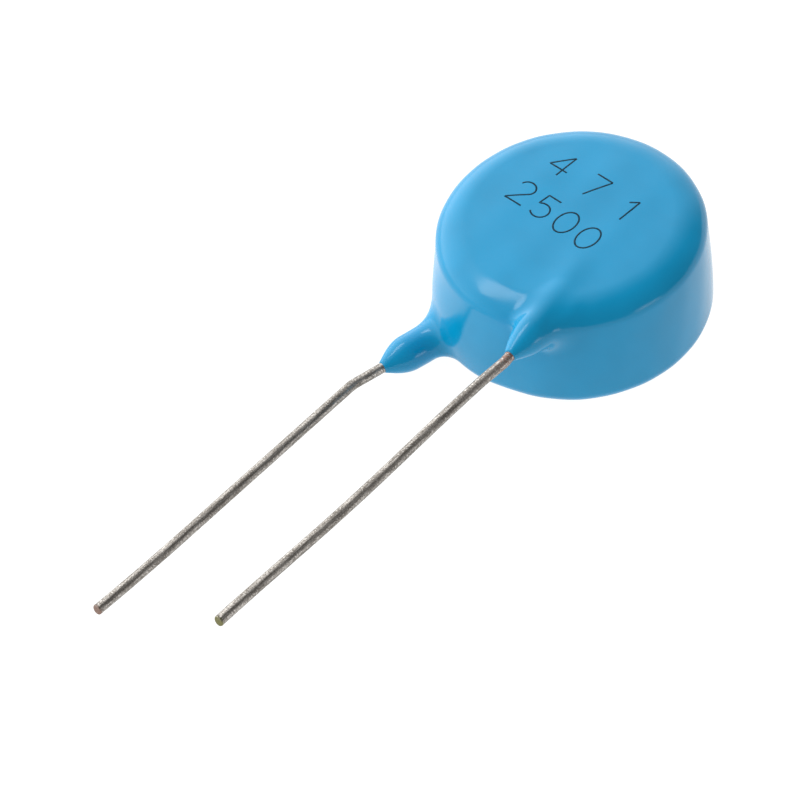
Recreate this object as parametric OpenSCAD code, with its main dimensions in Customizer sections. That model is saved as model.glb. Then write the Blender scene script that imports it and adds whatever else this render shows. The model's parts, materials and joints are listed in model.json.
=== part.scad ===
// High-voltage ceramic disc capacitor, lying on its unmarked face.
// The disc axis is +Z, the origin is the middle of the lower face, and both leads run towards -Y.
// All sizes are in millimetres.

/* [Ceramic disc] */
// Diameter of the ceramic disc
ceramic_d = 16; // [12:0.5:20]
// Thickness of the ceramic disc
ceramic_t = 6.4; // [4:0.1:9]
// Chamfer on both edges of the ceramic disc
ceramic_chamfer = 0.25; // [0.1:0.05:0.5]

/* [Electrodes] */
// Bare ceramic left round each silvered electrode
electrode_margin = 1; // [0.6:0.1:2]
// Thickness of each silvered electrode
electrode_t = 0.05; // [0.03:0.01:0.1]

/* [Coating] */
// Coating round the edge of the ceramic disc
coat_edge = 2; // [1.4:0.1:3]
// Coating over each face of the ceramic disc
coat_face = 2.05; // [1.6:0.05:3]
// Radius of the rounded rim
rim_r = 2.4; // [1:0.1:2.6]
// Diameter of the flat middle of each face
flat_d = 8; // [3:0.5:9]
// How far each face falls from its flat middle to the rim
face_fall = 0.2; // [0.1:0.05:0.3]

/* [Lead wires] */
// Diameter of the lead wire
wire_d = 0.8; // [0.5:0.05:1]
// Distance between the two legs across the disc
lead_pitch = 12.5; // [8:0.5:13]
// Sideways shift of the pair of legs from the middle of the disc
pair_shift = -1.55; // [-1.6:0.05:1.6]
// Bare wire on the front lead
front_leg_len = 30; // [10:1:60]
// Bare wire on the back lead
back_leg_len = 29.1; // [10:1:60]
// Outward lean of the front lead on its way off the disc, in degrees
front_lean = 8; // [4:1:16]
// Outward lean of the back lead on its way off the disc, in degrees
back_lean = 14; // [4:1:16]
// Centre-line radius of the bend that straightens each leg
bend_r = 3; // [2:0.5:4]
// Bare wire between the coating and the bend of the front lead
front_bend_gap = 0.6; // [0.5:0.1:4]
// Bare wire between the coating and the bend of the back lead
back_bend_gap = 2.6; // [0.5:0.1:4]
// How far past the middle of the disc each wire reaches
wire_past = 3; // [1:0.5:4]

/* [Coating on the leads] */
// How far the coating runs down the front lead past the rim
front_run_len = 2; // [1:0.1:5]
// How far the coating runs down the back lead past the rim
back_run_len = 3.9; // [1:0.1:5]
// Diameter of the coating over the front lead
front_run_d = 3.1; // [2.2:0.1:3.6]
// Diameter of the coating over the back lead
back_run_d = 2.8; // [2.2:0.1:3.6]
// Length over which the front run-down thins to the wire
front_flare = 3.4; // [2:0.1:4]
// Length over which the back run-down thins to the wire
back_flare = 2.4; // [2:0.1:4]
// Thickness of the coating at its feathered edge on the wire
coat_lip = 0.1; // [0.05:0.05:0.2]
// Distance before the middle of the disc where the ridge over each wire starts to sink
ridge_from = 5; // [4:0.5:7]
// Distance before the middle of the disc where that ridge has sunk to the wire
ridge_to = 1; // [0.5:0.5:3]

/* [Solder joints] */
// Length of each solder joint along the wire
solder_len = 5; // [3:0.5:6]
// Thickness of solder over the wire at the middle of the joint
solder_over = 0.6; // [0.3:0.1:0.9]
// Thickness of solder over the wire at each end of the joint
solder_toe = 0.08; // [0.05:0.01:0.12]
// Thickness of solder under the wire
solder_film = 0.03; // [0.02:0.01:0.06]
// Bare wire left at the inner end of each joint
solder_stub = 0.6; // [0.3:0.1:1]

/* [Hidden] */
$fn = 96;

// A number for each side of the disc: the front carries the marking and faces up.
FRONT = 1;
BACK = -1;

body_r = ceramic_d / 2 + coat_edge;
body_t = ceramic_t + 2 * coat_face;
rim_in = body_r - rim_r;
electrode_r = ceramic_d / 2 - electrode_margin;
wire_r = wire_d / 2;
// Height of each wire's centre line over the middle plane of the disc
wire_h = ceramic_t / 2 + electrode_t + solder_film + wire_r;
// Steps in the curve of a run-down or a solder joint
CURVE_STEPS = 8;
// The bend is a hair fatter than the wire and laps over both straight stretches, so all three join.
BEND_GROW = 0.004;
BEND_LAP = 0.05;

function is_front(side) = side == FRONT;
function lean(side) = is_front(side) ? front_lean : back_lean;
function leg_x(side) = pair_shift + side * lead_pitch / 2;
function coat_end_y(side) = -body_r - (is_front(side) ? front_run_len : back_run_len);
function bend_y(side) = coat_end_y(side) - (is_front(side) ? front_bend_gap : back_bend_gap);
function tip_y(side) = coat_end_y(side) - (is_front(side) ? front_leg_len : back_leg_len);
function run_r(side) = (is_front(side) ? front_run_d : back_run_d) / 2;
function flare(side) = is_front(side) ? front_flare : back_flare;
// Length from the corner of the bend to each point of interest, along the leaning wire
function inner_len(side) = (wire_past - bend_y(side)) / cos(lean(side));
function coat_from(side) = (coat_end_y(side) - bend_y(side)) / cos(lean(side));
// Straight wire that the bend takes from each side of its corner
function bend_tangent(side) = bend_r * tan(lean(side) / 2);
// The front run-down is a slim cone with a hollow waist; the back one is a full drop.
function swell(side, k) = is_front(side) ? k * k * (3 - 2 * k) : sin(90 * k);

// Puts a lead's children with the corner of its bend at the origin and the leaning wire along +Z.
module along_wire(side) {
    translate([leg_x(side), bend_y(side), body_t / 2 + side * wire_h])
        rotate([0, 0, side * lean(side)])
            rotate([-90, 0, 0])
                children();
}

// Half section of the dipped body without its cavity
module body_section() {
    polygon([
        [0, 0], [flat_d / 2, 0], [rim_in, face_fall], [body_r, face_fall + rim_r],
        [body_r, body_t - face_fall - rim_r], [rim_in, body_t - face_fall],
        [flat_d / 2, body_t], [0, body_t]
    ]);
    for (z = [face_fall + rim_r, body_t - face_fall - rim_r])
        translate([rim_in, z])
            circle(r = rim_r);
}

// Coating that follows a wire from its feathered edge in to the face of the disc
module run_down(side) {
    lip_r = wire_r + coat_lip;
    full_r = run_r(side);
    curve = [
        for (i = [0 : CURVE_STEPS])
            let (k = i / CURVE_STEPS)
                [lip_r + (full_r - lip_r) * swell(side, k), k * flare(side)]
    ];
    ridge = [
        [full_r, -coat_end_y(side) - ridge_from],
        [lip_r, -coat_end_y(side) - ridge_to],
        [0, -coat_end_y(side) - ridge_to]
    ];
    along_wire(side)
        translate([0, 0, coat_from(side)])
            rotate_extrude()
                polygon(concat([[0, 0]], curve, ridge));
}

// One lead: a leaning wire on the disc, a gentle bend and a straight leg
module lead(side) {
    tangent = bend_tangent(side);
    lap_from = tangent - BEND_LAP;
    along_wire(side)
        translate([0, 0, lap_from])
            cylinder(r = wire_r, h = inner_len(side) - lap_from);
    translate([leg_x(side), 0, body_t / 2 + side * wire_h]) {
        translate([0, tip_y(side), 0])
            rotate([-90, 0, 0])
                cylinder(r = wire_r, h = bend_y(side) - lap_from - tip_y(side));
        translate([-side * bend_r, bend_y(side) - tangent, 0])
            rotate([0, 0, is_front(side) ? 0 : 180 - lean(side)])
                rotate_extrude(angle = lean(side))
                    translate([bend_r, 0])
                        circle(r = wire_r + BEND_GROW);
    }
}

// Solder drawn along the wire, before the electrode's plane cuts it
module solder_spindle(side) {
    bow = [
        for (i = [0 : CURVE_STEPS])
            let (k = i / CURVE_STEPS)
                [wire_r + solder_toe + (solder_over - solder_toe) * sin(180 * k), k * solder_len]
    ];
    along_wire(side)
        translate([0, 0, inner_len(side) - solder_stub - solder_len])
            rotate_extrude()
                polygon(concat([[0, 0]], bow, [[0, solder_len]]));
}

module solder_joint(side) {
    seat = ceramic_t / 2 + electrode_t;
    difference() {
        intersection() {
            solder_spindle(side);
            translate([0, 0, body_t / 2 + side * (seat + body_t / 2)])
                cube([2 * body_r, 2 * body_r, body_t], center = true);
        }
        lead(side);
    }
}

module electrode(side) {
    translate([0, 0, body_t / 2 + side * (ceramic_t + electrode_t) / 2])
        cylinder(r = electrode_r, h = electrode_t, center = true);
}

module epoxy_coating() {
    color("deepskyblue")
        difference() {
            union() {
                rotate_extrude()
                    body_section();
                run_down(FRONT);
                run_down(BACK);
            }
            ceramic_disc();
            // Each electrode's pocket starts inside the ceramic's, so the two cuts run together.
            translate([0, 0, body_t / 2])
                cylinder(r = electrode_r, h = ceramic_t + 2 * electrode_t, center = true);
            solder_spindle(FRONT);
            solder_spindle(BACK);
            lead(FRONT);
            lead(BACK);
        }
}

module ceramic_disc() {
    r = ceramic_d / 2;
    c = ceramic_chamfer;
    color("tan")
        translate([0, 0, coat_face])
            rotate_extrude()
                polygon([
                    [0, 0], [r - c, 0], [r, c], [r, ceramic_t - c], [r - c, ceramic_t], [0, ceramic_t]
                ]);
}

module front_electrode() {
    color("silver") electrode(FRONT);
}

module back_electrode() {
    color("silver") electrode(BACK);
}

module front_solder_joint() {
    color("lightgray") solder_joint(FRONT);
}

module back_solder_joint() {
    color("lightgray") solder_joint(BACK);
}

module front_lead() {
    color("gray") lead(FRONT);
}

module back_lead() {
    color("gray") lead(BACK);
}

epoxy_coating();
ceramic_disc();
front_electrode();
back_electrode();
front_solder_joint();
back_solder_joint();
front_lead();
back_lead();
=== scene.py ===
# %% [markdown]
# # A high-voltage ceramic disc capacitor
#
# The real part is a pressed ceramic disc with a silver layer and a wire on each face, dipped in
# blue epoxy and cured. This lesson keeps the measured frame that comes with the part, and builds
# the looks around it: the dipped coating, the tinned leads, the print and the finishes.
# Sizes are thought of in millimetres and turned to metres where a mesh is made.

# %% Load the measured frame
import json
import math

import bmesh
import bpy
import numpy as np
from mathutils import Matrix, Quaternion, Vector


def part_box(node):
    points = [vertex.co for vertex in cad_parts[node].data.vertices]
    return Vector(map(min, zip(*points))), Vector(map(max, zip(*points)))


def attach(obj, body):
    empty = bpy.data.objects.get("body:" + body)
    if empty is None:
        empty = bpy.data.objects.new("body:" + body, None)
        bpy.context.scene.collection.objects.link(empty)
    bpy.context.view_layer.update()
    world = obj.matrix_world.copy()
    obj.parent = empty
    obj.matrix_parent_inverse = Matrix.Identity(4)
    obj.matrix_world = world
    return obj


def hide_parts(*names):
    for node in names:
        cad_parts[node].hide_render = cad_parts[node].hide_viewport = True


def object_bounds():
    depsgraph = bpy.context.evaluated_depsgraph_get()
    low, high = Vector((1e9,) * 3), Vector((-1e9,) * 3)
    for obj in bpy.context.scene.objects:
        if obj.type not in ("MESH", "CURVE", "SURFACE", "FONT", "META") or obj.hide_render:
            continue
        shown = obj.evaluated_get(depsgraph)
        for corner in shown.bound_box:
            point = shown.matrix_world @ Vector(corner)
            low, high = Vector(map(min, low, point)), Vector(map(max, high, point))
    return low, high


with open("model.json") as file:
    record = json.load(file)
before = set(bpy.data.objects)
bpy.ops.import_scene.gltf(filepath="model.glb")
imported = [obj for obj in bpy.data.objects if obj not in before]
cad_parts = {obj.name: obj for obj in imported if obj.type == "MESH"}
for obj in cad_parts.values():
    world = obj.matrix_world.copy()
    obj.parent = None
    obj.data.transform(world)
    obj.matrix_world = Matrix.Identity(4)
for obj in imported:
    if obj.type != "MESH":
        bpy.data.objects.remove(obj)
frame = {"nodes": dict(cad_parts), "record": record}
cad_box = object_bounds()
MM = 0.001
print("frame nodes:", sorted(frame["nodes"]))

# %% [markdown]
# ## Sizes
#
# The overall sizes are read from the frame: the disc's radius and thickness from the coating's
# box, and each leg's place from its mount. What a box can't say, such as where the coating ends on
# a wire or how far a wire leans, is named here with the values that the frame was drawn with.

# %% Read the overall sizes
mounts = {mount["name"]: mount for mount in frame["record"]["mounts"]}
coat_high = np.array(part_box("epoxy_coating")[1]) / MM
BODY_R = round(float(coat_high[0]), 2)
BODY_T = round(float(coat_high[2]), 2)
WIRE_R = mounts["front_lead_end"]["dims"]["r_mm"]
MIDDLE_Z = BODY_T / 2
# Radius of the bend in each wire, and how far a wire runs past the middle of the disc
BEND_R = 3.0
WIRE_PAST = 3.0
print("disc", BODY_R * 2, "x", BODY_T, "mm, wire", WIRE_R * 2, "mm")


# %% Say where each lead runs
class Lead:
    """Where one lead runs, in millimetres. Its slanted stretch crosses the disc's face.

    side is 1 on the marked face and -1 on the other, and lean is the slant in degrees. coat_end
    and bend say how far out the coating's lip and the bend are. run_r is the radius of the
    coating on the wire, flare the length over which it thickens, and sag how far it hangs to one
    side. fillets are the hollow corners that join it to the disc, on its left and its right.
    """

    def __init__(self, name, side, lean, coat_end, bend, run_r, flare, sag, fillets):
        place = np.array(mounts[name + "_end"]["pos_m"]) / MM
        self.name, self.side = name, side
        self.coat_end, self.run_r, self.flare = coat_end, run_r, flare
        self.sag, self.fillets = sag, fillets
        self.lean = math.radians(lean)
        self.corner = np.array([place[0], bend, place[2]])
        self.tip = float(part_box(name)[0].y) / MM
        # Unit vector along the slanted stretch, from the bend in towards the disc
        self.inward = np.array([-side * math.sin(self.lean), math.cos(self.lean), 0.0])
        self.across = np.array([self.inward[1], -self.inward[0], 0.0])
        self.coat_from = (coat_end - bend) / math.cos(self.lean)


front = Lead(
    "front_lead", side=1, lean=8, coat_end=-12.0, bend=-12.6,
    run_r=1.4, flare=2.9, sag=0.26, fillets=(1.0, 1.6),
)
back = Lead(
    "back_lead", side=-1, lean=14, coat_end=-13.9, bend=-16.5,
    run_r=1.4, flare=2.4, sag=0.0, fillets=(1.8, 1.8),
)
print("legs at x =", front.corner[0], "and", back.corner[0])

# %% [markdown]
# ## The camera
#
# The disc is seen from above its leads' side, with the camera rolled a little. A long lens from a
# third of a metre keeps the two leads nearly parallel. The camera is set from plain angles and
# one aim point, so that its matrix can be checked by hand.

# %% Place the camera
CAMERA_AZIMUTH = math.radians(49.85)
CAMERA_ELEVATION = math.radians(48)
CAMERA_ROLL = math.radians(-10)
CAMERA_DISTANCE = 300.0
CAMERA_LENS = 184.3
CAMERA_SEES_TO = 10
# How far the aim point is left of the disc's middle and below it, as the camera sees it
AIM_LEFT = 12.83
AIM_BELOW = 10.0


def camera_axes(azimuth, elevation, roll):
    """The camera's right, up and backward directions."""
    right = Vector((math.cos(azimuth), math.sin(azimuth), 0))
    backward = Vector((
        math.sin(azimuth) * math.cos(elevation),
        -math.cos(azimuth) * math.cos(elevation),
        math.sin(elevation),
    ))
    up = backward.cross(right)
    turned_right = right * math.cos(roll) + up * math.sin(roll)
    return turned_right, backward.cross(turned_right), backward


axes = camera_axes(CAMERA_AZIMUTH, CAMERA_ELEVATION, CAMERA_ROLL)
aim = Vector((0, 0, MIDDLE_Z)) - axes[0] * AIM_LEFT - axes[1] * AIM_BELOW
camera = bpy.data.objects.new("camera", bpy.data.cameras.new("camera"))
camera.data.lens = CAMERA_LENS
camera.data.clip_end = CAMERA_SEES_TO
camera.matrix_world = (
    Matrix.Translation((aim + axes[2] * CAMERA_DISTANCE) * MM)
    @ Matrix(axes).transposed().to_4x4()
)
bpy.context.scene.collection.objects.link(camera)
bpy.context.scene.camera = camera
print("camera at", [round(x, 3) for x in camera.matrix_world.translation])

# %% [markdown]
# ## Colours and nodes
#
# Every finish below is a node tree. One function adds a node with its settings and links, and one
# turns a hex colour, as a paint chart gives it, into the linear values that a shader works in.
# A noise node's value mostly stays between 0.3 and 0.7. So each finish stretches a range about
# its middle, narrow for crisp spots and wide for soft ones, before it blends two colours.


# %% Helpers for materials
def linear(hex_colour):
    """Linear RGBA from an sRGB hex colour such as #2A9BD6."""
    parts = [int(hex_colour[i:i + 2], 16) / 255 for i in (1, 3, 5)]
    curved = (c / 12.92 if c <= 0.04045 else ((c + 0.055) / 1.055) ** 2.4 for c in parts)
    return (*curved, 1.0)


def add(tree, kind, inputs=None, **settings):
    """Adds a node, sets its options, and fills or links the inputs that are named."""
    made = tree.nodes.new(kind)
    for name, value in settings.items():
        setattr(made, name, value)
    for name, value in (inputs or {}).items():
        if isinstance(value, bpy.types.NodeSocket):
            tree.links.new(value, made.inputs[name])
        else:
            made.inputs[name].default_value = value
    return made


def new_material(name):
    """An empty material, with the place in millimetres that its patterns are scaled from."""
    material = bpy.data.materials.new(name)
    material.use_nodes = True
    tree = material.node_tree
    tree.nodes.clear()
    place = add(tree, "ShaderNodeTexCoord").outputs["Object"]
    in_mm = add(tree, "ShaderNodeVectorMath", {0: place, "Scale": 1 / MM}, operation="SCALE")
    return material, tree, in_mm.outputs[0]


def finish_material(tree, inputs):
    """Closes a tree with the main shader and the output."""
    shader = add(tree, "ShaderNodeBsdfPrincipled", inputs)
    add(tree, "ShaderNodeOutputMaterial", {"Surface": shader.outputs[0]})


def blend_colours(tree, factor, low, high):
    """One colour where the factor is 0 and the other where it is 1."""
    mixed = add(tree, "ShaderNodeMix", {0: factor, 6: low, 7: high}, data_type="RGBA")
    return mixed.outputs[2]


def to_range(tree, value, low, high, new_low=0.0, new_high=1.0):
    """Stretches a value from one range to another, and stops at both ends."""
    inputs = {0: value, 1: low, 2: high, 3: new_low, 4: new_high}
    return add(tree, "ShaderNodeMapRange", inputs, clamp=True).outputs[0]


print("helpers ready")

# %% [markdown]
# ## The blue epoxy
#
# The coating is an epoxy filled with blue pigment, dipped in several coats and cured. The liquid
# levels itself, so it cures glossy, with a few fine pits. Pigment settles a little unevenly, which
# shows as soft patches of deeper and lighter blue, each about half a centimetre across. Pits are
# drawn about three times as wide as the real ones, which are near a tenth of a millimetre.
# Cured epoxy has an index of about 1.55. It is set lower, to match a skin that mirrors its pale
# surroundings only faintly. Its gloss is a dielectric's all the same: white highlights, and pale
# edges where the surface turns away.

# %% Make the dipped epoxy
PATCH_SIZE = 5.0
PIT_SIZE = 0.35
PIT_DEPTH = 0.02


def dipped_epoxy():
    """Glossy blue, a little uneven in tone and gloss."""
    material, tree, place = new_material("dipped_blue_epoxy")
    patches = add(tree, "ShaderNodeTexNoise", {
        "Vector": place, "Scale": 1 / PATCH_SIZE, "Detail": 2.0,
    })
    share = to_range(tree, patches.outputs["Fac"], 0.35, 0.65)
    blue = blend_colours(tree, share, linear("#028DBD"), linear("#0494C6"))
    pits = add(tree, "ShaderNodeTexNoise", {
        "Vector": place, "Scale": 1 / PIT_SIZE, "Detail": 3.0,
    })
    pitted = to_range(tree, pits.outputs["Fac"], 0.2, 0.42)
    bump = add(tree, "ShaderNodeBump", {
        "Height": pitted, "Strength": 0.06, "Distance": PIT_DEPTH * MM,
    })
    gloss = to_range(tree, patches.outputs["Fac"], 0.3, 0.7, 0.13, 0.2)
    finish_material(tree, {
        "Base Color": blue, "Roughness": gloss, "IOR": 1.38, "Normal": bump.outputs[0],
    })
    return material


epoxy = dipped_epoxy()
print("made", epoxy.name)

# %% [markdown]
# ## The dipped coating
#
# Liquid epoxy rounds the disc's rim, runs a little way down each lead and pulls itself into a
# hollow fillet where the two meet. Modelling that by hand would need a careful net of patches.
# A formula is simpler: the distance to a rounded disc and the distance to a sleeve on each wire
# are joined by a smooth minimum, which makes the same hollow fillet as surface tension does.
# The distances are rough ones, exact only at zero, and that is all that a surface needs.

# %% Describe the dipped disc
# The marked face's height, how far out a face is flat, and its fall from there to the rim
FACE_Z = 10.35
FLAT_R = 3.5
FACE_FALL = 0.2
# The rim is a quarter of an oval, and the wall is narrower at its top and bottom by BARREL
RIM_ACROSS = 2.3
RIM_UP = 1.6
BARREL = 0.18
# Extra epoxy above the back lead: how thick it is, the angle of its middle, how narrow it is, how
# softly its sides fade and the heights it fades over
SKIRT = 0.85
SKIRT_MIDDLE = math.radians(-37)
SKIRT_SPREAD = 1.7
SKIRT_FADE = 1.5
SKIRT_LOW, SKIRT_HIGH = 2.5, 9.5
# The low ridge over the front wire, and where it begins and is full on the way to the rim
RIDGE_H = 0.13
RIDGE_W = 1.1
RIDGE_FROM, RIDGE_TO = -1.5, -5.0


def smooth_step(low, high, value):
    """A soft rise from 0 to 1 between two values."""
    k = np.clip((value - low) / (high - low), 0, 1)
    return k * k * (3 - 2 * k)


def skirt(points):
    """Extra epoxy that hangs on the wall above the back lead's way out."""
    off_middle = np.arctan2(points[:, 0], -points[:, 1]) - SKIRT_MIDDLE
    quarter = math.pi / 2
    around = np.cos(np.clip(off_middle * SKIRT_SPREAD, -quarter, quarter)) ** SKIRT_FADE
    return SKIRT * around * (1 - smooth_step(SKIRT_LOW, SKIRT_HIGH, points[:, 2]))


def ridge(points):
    """The low ridge that the buried front wire leaves on the face."""
    off_wire = (points - front.corner) @ front.across - front.sag
    along = smooth_step(-RIDGE_FROM, -RIDGE_TO, -points[:, 1])
    return RIDGE_H * np.exp(-(off_wire / RIDGE_W) ** 2) * along * (points[:, 2] > MIDDLE_Z)


def disc_distance(points):
    """Distance to the dipped disc: oval rim, slightly domed faces, slightly barrelled wall."""
    radius = np.hypot(points[:, 0], points[:, 1])
    height = np.abs(points[:, 2] - MIDDLE_Z)
    face = np.where(points[:, 2] > MIDDLE_Z, FACE_Z - MIDDLE_Z, MIDDLE_Z)
    half = face - FACE_FALL * smooth_step(FLAT_R, BODY_R, radius) + ridge(points)
    wall = BODY_R + skirt(points) - BARREL * (height / MIDDLE_Z) ** 2
    across = radius - (wall - RIM_ACROSS)
    up = height - (half - RIM_UP)
    a, b = np.maximum(across, 0), np.maximum(up, 0)
    k0 = np.hypot(a / RIM_ACROSS, b / RIM_UP)
    k1 = np.maximum(np.hypot(a / RIM_ACROSS ** 2, b / RIM_UP ** 2), 1e-9)
    outside = k0 * (k0 - 1) / k1
    inside = np.maximum(across - RIM_ACROSS, up - RIM_UP)
    return np.where(k0 > 0, outside, inside)


rim_point = np.array([[BODY_R, 0.0, MIDDLE_Z]])
print("distance at the rim", disc_distance(rim_point).round(3), "mm")

# %% Describe the sleeves on the wires
# How thick the coating still is where it ends, and how far from the disc's middle a sleeve starts
# to sink into the face and is gone
LIP = 0.06
SINK_FROM = 6.0
SINK_TO = 2.0
# The fillet is narrow on the face and grows between these radii towards the rim. It changes from
# its left size to its right size over a short width.
FACE_FILLET = 0.3
FILLET_GROWS = (5.0, 9.5)
LEFT_TO_RIGHT = (-0.5, 1.0)
# A sleeve's crest runs level with the face already, so most of its fillet is left out
CREST_SHARE = 0.6
CREST_UP = (0.0, 1.2)
CREST_ACROSS = (0.6, 2.2)


def sleeve_distance(points, lead):
    """Distance to the coating that follows one wire, and the fillet to join it with."""
    offset = points - lead.corner
    run = offset @ lead.inward - lead.coat_from
    swell = np.sin(np.clip(run / lead.flare, 0, 1) * math.pi / 2)
    across = offset @ lead.across - lead.sag * swell
    radial = np.hypot(across, offset[:, 2])
    lip_r = WIRE_R + LIP
    sunk = smooth_step(-lead.coat_end - SINK_FROM, -lead.coat_end - SINK_TO, run)
    size = lip_r + (lead.run_r - lip_r) * (swell - sunk)
    distance = np.maximum(np.maximum(radial - size, -run), run + lead.coat_end + SINK_TO)
    on_left, on_right = lead.fillets
    wide = on_left + (on_right - on_left) * smooth_step(*LEFT_TO_RIGHT, across)
    above = smooth_step(*CREST_UP, lead.side * offset[:, 2])
    crest = above * (1 - smooth_step(*CREST_ACROSS, np.abs(across)))
    on_rim = smooth_step(*FILLET_GROWS, np.hypot(points[:, 0], points[:, 1]))
    return distance, FACE_FILLET + (wide - FACE_FILLET) * on_rim * (1 - CREST_SHARE * crest)


for lead in (front, back):
    lip_point = (lead.corner + lead.inward * lead.coat_from)[None, :]
    print(lead.name, "distance at its lip", sleeve_distance(lip_point, lead)[0].round(3), "mm")

# %% Join the disc and the sleeves
# The height of slow waves three to five millimetres long, which the liquid leaves, and the room
# that is kept to the measured box
WAVE = 0.02
BOX_GAP = 0.003


def coating_distance(points):
    """The disc and both sleeves, joined with a fillet that is narrow on the face."""
    joined = disc_distance(points)
    for lead in (front, back):
        sleeve, fillet = sleeve_distance(points, lead)
        overlap = np.maximum(fillet - np.abs(joined - sleeve), 0) / fillet
        joined = np.minimum(joined, sleeve) - overlap ** 2 * fillet / 4
    x, y, z = points.T
    wave = np.sin(0.9 * x + 1.3 * y + 0.4) * np.sin(1.1 * y - 0.7 * z)
    wave = wave + np.sin(1.7 * x - 0.8 * z + 1.1)
    joined = joined + WAVE * 0.5 * (1 + wave)
    outside_box = np.maximum(np.maximum(-z, z - BODY_T), np.abs(x) - BODY_R)
    return np.maximum(joined, outside_box + BOX_GAP)


print("joined distance at the rim", coating_distance(rim_point).round(3), "mm")

# %% [markdown]
# ## A skin on the formula
#
# A rough disc and two rods only have to be near the right place and closed. The voxel remesh turns
# them into an even net, which is pulled onto the surface by a few Newton steps and relaxed so that
# its squares stay square. That is done on a coarse net first and then on a fine one, because a
# fine net that has far to go can fold over. The net is cut finer still near each feathered edge,
# which is the thinnest detail on the part.

# %% Make the rough solids
# The disc is this much smaller than the real one, and the rods stop this far from its middle
ROUGH_INSET = 0.6
ROD_STOP = 4
DISC_SIDES = 96
ROD_SIDES = 24
ROD_OUTER_R, ROD_INNER_R = 0.5, 1.2


def rough_solids():
    """A closed disc and two closed rods, near the coating's real place."""
    rough = bmesh.new()
    disc_r = BODY_R - ROUGH_INSET
    bmesh.ops.create_cone(
        rough, cap_ends=True, segments=DISC_SIDES, radius1=disc_r, radius2=disc_r,
        depth=BODY_T - ROUGH_INSET, matrix=Matrix.Translation((0, 0, MIDDLE_Z)),
    )
    for lead in (front, back):
        length = -lead.coat_end - ROD_STOP
        middle = lead.corner + lead.inward * (lead.coat_from + length / 2)
        turn = Vector((0, 0, 1)).rotation_difference(Vector(lead.inward)).to_matrix().to_4x4()
        bmesh.ops.create_cone(
            rough, cap_ends=True, segments=ROD_SIDES, radius1=ROD_OUTER_R, radius2=ROD_INNER_R,
            depth=length, matrix=Matrix.Translation(Vector(middle)) @ turn,
        )
    data = bpy.data.meshes.new("rough")
    rough.to_mesh(data)
    rough.free()
    return data


rough = rough_solids()
print("solids to start from:", len(rough.polygons), "faces")


# %% Nets and their corners
def remeshed(data, step):
    """One even closed net round everything in a mesh."""
    helper = bpy.data.objects.new("rough", data)
    bpy.context.scene.collection.objects.link(helper)
    modifier = helper.modifiers.new("even_net", "REMESH")
    modifier.mode = "VOXEL"
    modifier.voxel_size = step
    graph = bpy.context.evaluated_depsgraph_get()
    data = bpy.data.meshes.new_from_object(helper.evaluated_get(graph))
    bpy.data.objects.remove(helper)
    return data


def corners(data):
    """A mesh's corners as an array of places."""
    flat = np.zeros(len(data.vertices) * 3)
    data.vertices.foreach_get("co", flat)
    return flat.reshape(-1, 3)


def edge_ends(data):
    """The two corners of every edge, by number."""
    flat = np.zeros(len(data.edges) * 2, int)
    data.edges.foreach_get("vertices", flat)
    return flat.reshape(-1, 2)


def as_object(name, data, points_mm, material):
    """Puts the corners in place, in metres, and makes a smooth-shaded object."""
    data.vertices.foreach_set("co", (points_mm * MM).ravel())
    data.shade_smooth()
    data.materials.clear()
    data.materials.append(material)
    made = bpy.data.objects.new(name, data)
    bpy.context.scene.collection.objects.link(made)
    return made


print("rough solids have", len(corners(rough)), "corners and", len(edge_ends(rough)), "edges")

# %% Settle a net on the surface
# A new net is far from the surface, so its first pull takes more steps than the later ones
FIRST_STEPS = 6
NEWTON_STEPS = 3
RELAX_SHARE = 0.5
# The probe that measures the slope, the longest move in one step, and the least slope squared
PROBE = 0.01
LONGEST_MOVE = 0.3
LEAST_SLOPE = 0.1


def relaxed(points, ends, share):
    """Moves each corner part of the way to the middle of its neighbours."""
    total, count = np.zeros_like(points), np.zeros(len(points))
    for here, there in (ends.T, ends.T[::-1]):
        np.add.at(total, here, points[there])
        np.add.at(count, here, 1)
    return points + share * (total / count[:, None] - points)


def onto_surface(points, steps):
    """Newton steps along the formula's own slope."""
    for _ in range(steps):
        ahead = [coating_distance(points + PROBE * axis) for axis in np.eye(3)]
        behind = [coating_distance(points - PROBE * axis) for axis in np.eye(3)]
        slope = (np.stack(ahead, axis=1) - np.stack(behind, axis=1)) / (2 * PROBE)
        size = np.maximum((slope ** 2).sum(axis=1), LEAST_SLOPE)
        move = -slope * (coating_distance(points) / size)[:, None]
        points = points + np.clip(move, -LONGEST_MOVE, LONGEST_MOVE)
    return points


def settle(data, rounds):
    """Relaxes a net and pulls it back onto the formula's surface, some rounds over."""
    points, ends = onto_surface(corners(data), FIRST_STEPS), edge_ends(data)
    for _ in range(rounds):
        points = onto_surface(relaxed(points, ends, RELAX_SHARE), NEWTON_STEPS)
    data.vertices.foreach_set("co", points.ravel())


off_rim = rim_point + (0.2, 0.0, 0.0)
print("a corner near the rim settles at", onto_surface(off_rim, NEWTON_STEPS).round(3), "mm")

# %% Build the skin
COARSE_STEP = 0.32
SKIN_STEP = 0.16
FINE_REACH = 3.2
ROUNDS = 6
FINE_ROUNDS = 3


def finer_near_lips(data):
    """Cuts the net once more where the coating thins out on each wire."""
    net = bmesh.new()
    net.from_mesh(data)
    near = set()
    for lead in (front, back):
        lip = Vector(lead.corner + lead.inward * lead.coat_from)
        near.update(
            edge for edge in net.edges
            if all((end.co - lip).length < FINE_REACH for end in edge.verts)
        )
    order = sorted(near, key=lambda edge: edge.index)
    bmesh.ops.subdivide_edges(net, edges=order, cuts=1, use_grid_fill=True)
    net.to_mesh(data)
    net.free()


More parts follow.
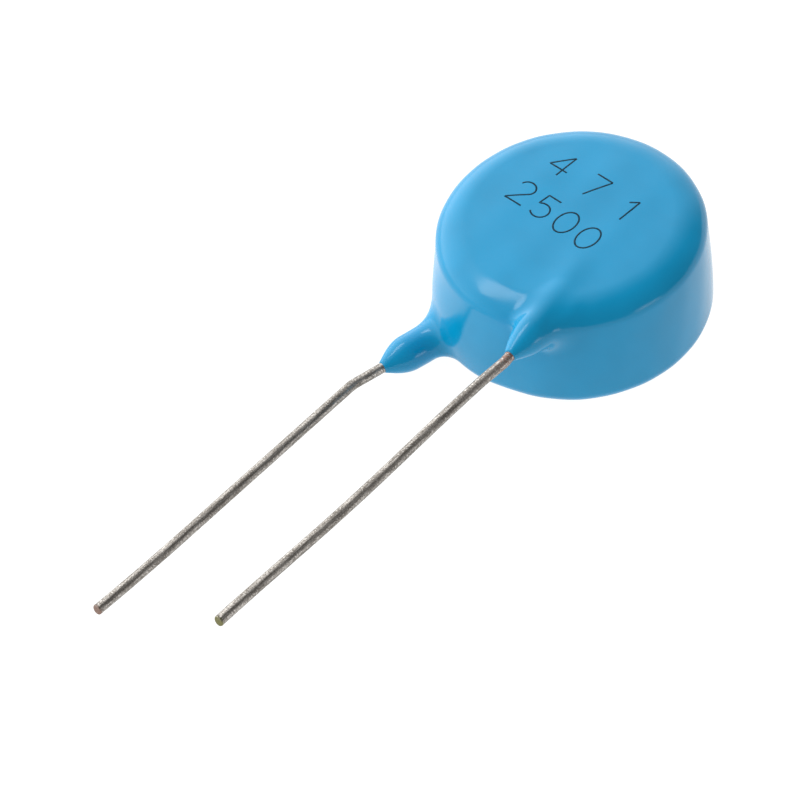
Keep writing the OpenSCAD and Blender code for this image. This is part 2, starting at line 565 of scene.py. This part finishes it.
def build_coating(data):
    """The skin, from rough solids to a net that lies on the formula's surface."""
    for step in (COARSE_STEP, SKIN_STEP):
        data = remeshed(data, step)
        settle(data, ROUNDS)
    finer_near_lips(data)
    settle(data, FINE_ROUNDS)
    data.name = "dipped_coating"
    return as_object("dipped_coating", data, corners(data), epoxy)


coating = build_coating(rough)
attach(coating, "root")
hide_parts("epoxy_coating")
low, high = corners(coating.data).min(0) / MM, corners(coating.data).max(0) / MM
print("coating", len(coating.data.polygons), "faces, from", low.round(3), "to", high.round(3))

# %% [markdown]
# ## The tinned wire's finish
#
# Each lead is hard-drawn wire with copper under a thin skin of tin. Drawing leaves streaks along
# it, and handling dulls it to a warm grey with dark specks and small bright ones. The tin is
# rubbed to a coppery patch beside the front run-down, and the cut end shows the core.
# Real die lines are a few hundredths of a millimetre apart. The streaks and specks are drawn a
# few times as coarse, so that they show. It is a metal, so its colour is in its reflections.

# %% Make the tinned wire finish
STREAK_WIDTH = 0.16
STREAK_LENGTH = 2.2
SPECK = 0.11
SCRATCH_DEPTH = 0.025
# How far from the tip the core starts to show and shows in full, and how far the rubbed patch
# reaches from the coating
CORE_SHOWS = 0.3
CORE_FULL = 0.1
RUBBED_LENGTH = 1.8


def tinned_wire(lead, core_colour, rubbed):
    """Tin with drawing streaks and dull specks, worn through at the tip and near the coating."""
    material, tree, place = new_material(lead.name + "_drawn_and_tinned")
    stretch = (1 / STREAK_WIDTH, 1 / STREAK_LENGTH, 1 / STREAK_WIDTH)
    along = add(tree, "ShaderNodeVectorMath", {0: place, 1: stretch}, operation="MULTIPLY")
    streaks = add(tree, "ShaderNodeTexNoise", {
        "Vector": along.outputs[0], "Scale": 1.0, "Detail": 3.0,
    })
    specks = add(tree, "ShaderNodeTexNoise", {
        "Vector": place, "Scale": 1 / SPECK, "Detail": 3.0,
    })
    dulled = to_range(tree, streaks.outputs["Fac"], 0.42, 0.58)
    tin = blend_colours(tree, dulled, linear("#ABA6A0"), linear("#7E7973"))
    spotted = to_range(tree, specks.outputs["Fac"], 0.5, 0.62, 0.0, 0.6)
    tin = blend_colours(tree, spotted, tin, linear("#625D57"))
    bright = to_range(tree, specks.outputs["Fac"], 0.42, 0.34, 0.0, 0.8)
    tin = blend_colours(tree, bright, tin, linear("#CFCCC7"))
    height = add(tree, "ShaderNodeSeparateXYZ", {0: place}).outputs["Y"]
    patch_from = lead.coat_end - RUBBED_LENGTH
    near_coat = to_range(tree, height, patch_from, lead.coat_end, 0.0, rubbed)
    patchy = to_range(tree, specks.outputs["Fac"], 0.42, 0.55)
    copper = add(tree, "ShaderNodeMath", {0: near_coat, 1: patchy}, operation="MULTIPLY")
    tin = blend_colours(tree, copper.outputs[0], tin, linear("#A4614C"))
    at_tip = to_range(tree, height, lead.tip + CORE_SHOWS, lead.tip + CORE_FULL)
    worn = blend_colours(tree, at_tip, tin, linear(core_colour))
    rough = to_range(tree, specks.outputs["Fac"], 0.35, 0.65, 0.32, 0.55)
    uneven = add(tree, "ShaderNodeMath", {0: streaks.outputs["Fac"], 1: specks.outputs["Fac"]})
    bump = add(tree, "ShaderNodeBump", {
        "Height": uneven.outputs[0], "Strength": 0.5, "Distance": SCRATCH_DEPTH * MM,
    })
    finish_material(tree, {
        "Base Color": worn, "Metallic": 1.0, "Roughness": rough, "Normal": bump.outputs[0],
    })
    return material


front_tin = tinned_wire(front, "#77754E", rubbed=0.5)
back_tin = tinned_wire(back, "#8A7267", rubbed=0.0)
print("made", front_tin.name, "and", back_tin.name)

# %% [markdown]
# ## The leads
#
# A lead is cut from a coil that was straightened, so its leg still sways by a tenth or two of a
# millimetre. The shears leave a slanted end with a rolled edge. The wire is a swept tube, because
# its path is known exactly: a straight stretch on the disc, a gentle bend, and the leg.

# %% Work out the wires' paths
INNER_STEP = 0.5
BEND_POINTS = 8
RING_STEP = 0.2
# The front leg sways like a wave with its crest this far out, and eases in after the bend
FRONT_SWAY = 0.1
FRONT_CREST = 29
FRONT_HALF_WAVE = 13
FRONT_EASES_IN = 2
# The back leg curves off to one side, from this far out to its tip
BACK_DRIFT = -0.2
BACK_DRIFT_FROM = 34
BACK_DRIFT_LENGTH = 9


def sway(lead, y):
    """Sideways drift left in the leg after straightening."""
    if lead is front:
        wave = math.cos(math.pi * (y + FRONT_CREST) / FRONT_HALF_WAVE)
        return FRONT_SWAY * wave * min(1.0, (lead.corner[1] - y) / FRONT_EASES_IN)
    return BACK_DRIFT * (max(0.0, -y - BACK_DRIFT_FROM) / BACK_DRIFT_LENGTH) ** 2


def wire_path(lead):
    """Centre points from the wire's inner end, over the bend, to its tip."""
    tangent = BEND_R * math.tan(lead.lean / 2)
    inner_length = (WIRE_PAST - lead.corner[1]) / math.cos(lead.lean)
    inner = np.arange(inner_length, tangent, -INNER_STEP)
    path = [lead.corner + lead.inward * distance for distance in inner]
    middle = lead.corner + np.array([-lead.side * BEND_R, -tangent, 0])
    for share in np.linspace(1, 0, BEND_POINTS):
        angle = share * lead.lean
        out = np.array([lead.side * math.cos(angle), math.sin(angle), 0])
        path.append(middle + BEND_R * out)
    start = lead.corner[1] - tangent
    count = int((start - lead.tip) / RING_STEP)
    for y in np.linspace(start, lead.tip, count + 1)[1:]:
        path.append(np.array([lead.corner[0] + sway(lead, y), y, lead.corner[2]]))
    return np.array(path)


print("front path has", len(wire_path(front)), "points, back path", len(wire_path(back)))

# %% Sweep the wires
RING_SIDES = 32
END_RINGS = 6
SHEAR_SLANT = 0.16
EDGE_ROLL = 0.09


def add_ring(net, centre, radius, slant):
    """A ring of corners round a path point. A slant pushes its upper side back."""
    made = []
    for i in range(RING_SIDES):
        turn = 2 * math.pi * i / RING_SIDES
        side, up = math.cos(turn) * radius, math.sin(turn) * radius
        made.append(net.verts.new(centre + np.array([side, slant * (up / WIRE_R + 1), up])))
    return made


def wire_rings(net, lead):
    """Rings along the path. The last ones draw in and lean over, for a rolled, slanted cut."""
    path = wire_path(lead)
    rings = [add_ring(net, centre, WIRE_R, 0.0) for centre in path[:-1]]
    for share in np.linspace(0, 1, END_RINGS):
        drawn = EDGE_ROLL * (1 - math.cos(share * math.pi / 2))
        short = EDGE_ROLL * (1 - math.sin(share * math.pi / 2))
        tip = path[-1] + np.array([0, short, 0])
        rings.append(add_ring(net, tip, WIRE_R - drawn, SHEAR_SLANT / 2))
    return rings


def build_wire(lead, name, material):
    """A tube through the rings, closed at both ends."""
    net = bmesh.new()
    rings = wire_rings(net, lead)
    neighbours = [(i, (i + 1) % RING_SIDES) for i in range(RING_SIDES)]
    for a, b in zip(rings, rings[1:]):
        for i, j in neighbours:
            net.faces.new((a[i], a[j], b[j], b[i]))
    for last in (rings[0], rings[-1]):
        hub = net.verts.new(sum((corner.co for corner in last), Vector()) / RING_SIDES)
        for i, j in neighbours:
            net.faces.new((last[i], last[j], hub))
    bmesh.ops.recalc_face_normals(net, faces=net.faces)
    data = bpy.data.meshes.new(name)
    net.to_mesh(data)
    net.free()
    made = as_object(name, data, corners(data), material)
    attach(made, "root")
    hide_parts(lead.name)
    print(name, len(data.polygons), "faces")


build_wire(front, "front_wire", front_tin)
build_wire(back, "back_wire", back_tin)

# %% [markdown]
# ## The print
#
# The value is marked on the face in thin single strokes of dark ink. The digits here are plain
# numbers that stand for no real type. Ink dries matt and a little uneven, so that it is darker in
# some places than in others, in patches of a quarter of a millimetre. Its index is set low,
# because dry ink hardly shines. Each stroke is a thin closed strip laid on the coating's own
# formula, so that it follows the dome of the face.

# %% Make the ink
INK_PATCH = 0.25


def marking_ink():
    """Matt blue-black with soft uneven patches."""
    material, tree, place = new_material("printed_dark_ink")
    fade = add(tree, "ShaderNodeTexNoise", {
        "Vector": place, "Scale": 1 / INK_PATCH, "Detail": 3.0,
    })
    share = to_range(tree, fade.outputs["Fac"], 0.3, 0.7)
    tone = blend_colours(tree, share, linear("#082B3A"), linear("#124356"))
    finish_material(tree, {"Base Color": tone, "Roughness": 0.6, "IOR": 1.2})
    return material


ink = marking_ink()
print("made", ink.name)

# %% Draw the digits' strokes
DIGIT_H = 2.2
DIGIT_TURN = math.radians(-3)
ROW_TURN = math.radians(-6)
# Each row: its digits, the middle of the first one and the step to the next
ROWS = (("471", (-3.8, 3.65), 3.47), ("2500", (-4.3, -0.2), 2.3))


def arc(x, y, across, up, start, end, count=16):
    """Points on an oval arc, with angles in degrees."""
    return [
        (x + across * math.cos(math.radians(t)), y + up * math.sin(math.radians(t)))
        for t in np.linspace(start, end, count)
    ]


# Each digit stands in a box one unit high, with x measured from its own middle.
DIGITS = {
    "0": [arc(0, 0.5, 0.36, 0.5, 90, 450, 32)],
    "1": [[(-0.2, 0.78), (0.08, 1), (0.08, 0)]],
    "2": [arc(0, 0.72, 0.32, 0.28, 165, -35) + [(-0.36, 0), (0.38, 0)]],
    "4": [[(0.18, 0), (0.18, 1), (-0.38, 0.3), (0.38, 0.3)]],
    "5": [[(0.3, 1), (-0.24, 1), (-0.28, 0.55)] + arc(-0.02, 0.32, 0.34, 0.32, 120, -140)],
    "7": [[(-0.34, 1), (0.34, 1), (-0.1, 0)]],
}
print("digits drawn:", " ".join(DIGITS))

# %% Lay a stroke on the face
STROKE = 0.165
STROKE_STEP = 0.08
# A stroke's top is this share of its width, above the face. Its edges go a little under it.
STROKE_TOP = 0.8
INK_ABOVE = 0.008
INK_BELOW = 0.03
HALVINGS = 24
SEARCH_BELOW, SEARCH_ABOVE = 1.5, 0.5


def face_height(x, y):
    """Height of the coated face over a point, found by halving."""
    low, high = np.full(len(x), BODY_T - SEARCH_BELOW), np.full(len(x), BODY_T + SEARCH_ABOVE)
    for _ in range(HALVINGS):
        middle = (low + high) / 2
        inside = coating_distance(np.stack([x, y, middle], axis=1)) < 0
        low, high = np.where(inside, middle, low), np.where(inside, high, middle)
    return low


def evenly(stroke):
    """The same line with a point every step."""
    line = np.array(stroke)
    lengths = np.linalg.norm(np.diff(line, axis=0), axis=1)
    reach = np.concatenate([[0], np.cumsum(lengths)])
    at = np.linspace(0, reach[-1], max(2, int(reach[-1] / STROKE_STEP) + 1))
    return np.stack([np.interp(at, reach, line[:, i]) for i in (0, 1)], axis=1)


def add_strip(net, line):
    """A thin closed strip along a line on the face."""
    ahead = np.gradient(line, axis=0)
    ahead /= np.linalg.norm(ahead, axis=1)[:, None]
    across = np.stack([-ahead[:, 1], ahead[:, 0]], axis=1) * STROKE / 2
    section = (
        (-1, -INK_BELOW), (-STROKE_TOP, INK_ABOVE), (STROKE_TOP, INK_ABOVE), (1, -INK_BELOW),
    )
    rows = []
    for shift, lift in section:
        xy = line + across * shift
        z = face_height(xy[:, 0], xy[:, 1]) + lift
        rows.append([net.verts.new((*p, h)) for p, h in zip(xy, z)])
    for i in range(len(line) - 1):
        for a, b in zip(rows, rows[1:] + rows[:1]):
            net.faces.new((a[i], a[i + 1], b[i + 1], b[i]))
    for i in (0, -1):
        net.faces.new([row[i] for row in rows])


middle_of_face = np.zeros(1)
print("face at its middle:", face_height(middle_of_face, middle_of_face).round(3), "mm high")


# %% Build the marking
def turned(points, angle):
    """Points turned about the origin."""
    c, s = math.cos(angle), math.sin(angle)
    return np.asarray(points) @ np.array([[c, s], [-s, c]])


def build_marking():
    """Every digit's strokes, in their rows, as one mesh."""
    net = bmesh.new()
    for text, first, pitch in ROWS:
        for i, digit in enumerate(text):
            middle = np.array(first) + turned((pitch * i, 0), ROW_TURN)
            for stroke in DIGITS[digit]:
                centred = (np.array(stroke) - (0, 0.5)) * DIGIT_H
                add_strip(net, turned(evenly(centred), DIGIT_TURN) + middle)
    bmesh.ops.recalc_face_normals(net, faces=net.faces)
    data = bpy.data.meshes.new("printed_numbers")
    net.to_mesh(data)
    net.free()
    return as_object("printed_numbers", data, corners(data), ink)


marking = build_marking()
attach(marking, "root")
print("marking", len(marking.data.polygons), "faces")

# %% [markdown]
# ## What the coating hides
#
# Inside are the fired ceramic, a silver layer on each of its faces, and the solder that holds each
# wire. Their shapes come from the frame as they are. Each gets its own finish, so that the part is
# right when it is taken apart. Their grain is a few microns wide in truth, so it is drawn much
# coarser here, at a few grains to the millimetre.

# %% Make the ceramic
CERAMIC_GRAINS_PER_MM = 6.0
CERAMIC_RELIEF = 0.02


def fired_ceramic():
    """Barium titanate, pressed and fired: matt, sandy brown and finely grained."""
    material, tree, place = new_material("fired_titanate_ceramic")
    grain = add(tree, "ShaderNodeTexNoise", {
        "Vector": place, "Scale": CERAMIC_GRAINS_PER_MM, "Detail": 4.0,
    })
    share = to_range(tree, grain.outputs["Fac"], 0.35, 0.65)
    tone = blend_colours(tree, share, linear("#A98C66"), linear("#BFA47E"))
    bump = add(tree, "ShaderNodeBump", {
        "Height": grain.outputs["Fac"], "Strength": 0.2, "Distance": CERAMIC_RELIEF * MM,
    })
    finish_material(tree, {
        "Base Color": tone, "Roughness": 0.6, "IOR": 2.1, "Normal": bump.outputs[0],
    })
    return material


ceramic = fired_ceramic()
print("made", ceramic.name)

# %% Make the silver and the solder
SILVER_MESH_PER_MM = 5.0
SOLDER_GRAINS_PER_MM = 3.0


def fired_silver():
    """Silver paste, screened and fired: a pale, soft sheen with the screen's faint mottle."""
    material, tree, place = new_material("fired_silver_paste")
    mottle = add(tree, "ShaderNodeTexNoise", {
        "Vector": place, "Scale": SILVER_MESH_PER_MM, "Detail": 2.0,
    })
    share = to_range(tree, mottle.outputs["Fac"], 0.3, 0.7)
    tone = blend_colours(tree, share, linear("#D9D6CF"), linear("#BDB9B0"))
    finish_material(tree, {"Base Color": tone, "Metallic": 1.0, "Roughness": 0.5})
    return material


def frozen_solder():
    """Tin solder that set in a fillet: bright, with the dull borders of its grains."""
    material, tree, place = new_material("frozen_solder")
    grain = add(tree, "ShaderNodeTexVoronoi", {"Vector": place, "Scale": SOLDER_GRAINS_PER_MM})
    share = to_range(tree, grain.outputs["Distance"], 0.0, 0.6)
    tone = blend_colours(tree, share, linear("#B9B9B6"), linear("#8F8F8C"))
    rough = to_range(tree, grain.outputs["Distance"], 0.0, 0.6, 0.22, 0.4)
    finish_material(tree, {"Base Color": tone, "Metallic": 1.0, "Roughness": rough})
    return material


silver, solder = fired_silver(), frozen_solder()
print("made", silver.name, "and", solder.name)

# %% Finish the hidden pieces
HIDDEN = {
    "ceramic_disc": ceramic,
    "front_electrode": silver,
    "back_electrode": silver,
    "front_solder_joint": solder,
    "back_solder_joint": solder,
}
for node_name, material in HIDDEN.items():
    for slot in frame["nodes"][node_name].material_slots:
        slot.material = material
    print(node_name, "->", material.name)

# %% [markdown]
# ## Floor and light
#
# The part lies on an opal acrylic table that is lit from below, which keeps its shadow faint. Lit
# opal acrylic is nearly white and matt, with slow clouds where it glows less. A long soft box
# stands high on the left and gives the almond-shaped highlight on the shoulder. A small one stands
# low on the right and puts a soft patch on the wall. The rest is a pale surround like a product
# tent's, brighter on the left, so that the right of the disc falls into a deeper blue.

# %% Make the floor
FLOOR_HALF = 3.0
FLOOR_DROP = 0.02
FLOOR_GLOW = 1.03
CLOUD_SIZE = 50.0


def lit_table():
    """Opal acrylic that glows: a grey that reflects little, under a near-white light."""
    material, tree, place = new_material("lit_opal_acrylic")
    cloud = add(tree, "ShaderNodeTexNoise", {
        "Vector": place, "Scale": 1 / CLOUD_SIZE, "Detail": 2.0,
    })
    tone = blend_colours(tree, cloud.outputs["Fac"], linear("#FFFFFF"), linear("#F6F6F6"))
    finish_material(tree, {
        "Base Color": linear("#6A6A6A"), "Roughness": 0.9,
        "Emission Color": tone, "Emission Strength": FLOOR_GLOW,
    })
    return material


floor_data = bpy.data.meshes.new("floor")
floor_net = bmesh.new()
bmesh.ops.create_grid(floor_net, x_segments=1, y_segments=1, size=FLOOR_HALF)
floor_net.to_mesh(floor_data)
floor_net.free()
floor_data.materials.append(lit_table())
floor = bpy.data.objects.new("floor", floor_data)
floor.location.z = cad_box[0].z - FLOOR_DROP * MM
bpy.context.scene.collection.objects.link(floor)
print("floor at", floor.location.z)


# %% Place the soft boxes
def towards(azimuth, elevation):
    """Unit vector to a place in the studio, with angles in degrees."""
    return camera_axes(math.radians(azimuth), math.radians(elevation), 0)[2]


def soft_box(name, azimuth, elevation, distance, width, height, turn, power):
    """An oval area light that faces the disc, in metres and watts."""
    data = bpy.data.lights.new(name, "AREA")
    data.shape = "ELLIPSE"
    data.size, data.size_y, data.energy = width, height, power
    made = bpy.data.objects.new(name, data)
    direction = towards(azimuth, elevation)
    made.location = direction * distance
    facing = direction.to_track_quat("Z", "Y") @ Quaternion((0, 0, 1), math.radians(turn))
    made.rotation_euler = facing.to_euler()
    bpy.context.scene.collection.objects.link(made)
    print(name, "at", [round(x, 3) for x in made.location])


soft_box(
    "left_soft_box", azimuth=-71.5, elevation=58.3, distance=0.6,
    width=0.45, height=0.15, turn=-25, power=0.86,
)
soft_box(
    "low_right_soft_box", azimuth=94, elevation=4, distance=0.9,
    width=0.34, height=0.34, turn=0, power=0.75,
)

# %% Put up the tent
BRIGHT_SIDE = -92
# The surround's strength, from where it starts to rise (just past side-on) to its brightest
TENT_RISES_FROM = -0.13
TENT_DIM, TENT_BRIGHT = 0.27, 2.85


def tent():
    """A surround that is bright on one side and dim on the other."""
    world = bpy.data.worlds.new("tent")
    world.use_nodes = True
    tree = world.node_tree
    way = add(tree, "ShaderNodeTexCoord").outputs["Generated"]
    to_bright = tuple(towards(BRIGHT_SIDE, 0))
    share = add(tree, "ShaderNodeVectorMath", {0: way, 1: to_bright}, operation="DOT_PRODUCT")
    level = to_range(
        tree, share.outputs["Value"], TENT_RISES_FROM, 1.0, TENT_DIM, TENT_BRIGHT,
    )
    surround = tree.nodes["Background"]
    surround.inputs["Color"].default_value = linear("#FFFFFF")
    tree.links.new(level, surround.inputs["Strength"])
    return world


bpy.context.scene.world = tent()
bpy.context.scene.view_settings.view_transform = "Standard"
print("surround:", bpy.context.scene.world.name)

# %% [markdown]
# ## The measured box
#
# The frame's measured box is printed at the end, in millimetres. The looks must stay inside
# the measured box.

# %% Print the measured box
print("cad box", [tuple(round(v / MM, 3) for v in c) for c in cad_box])
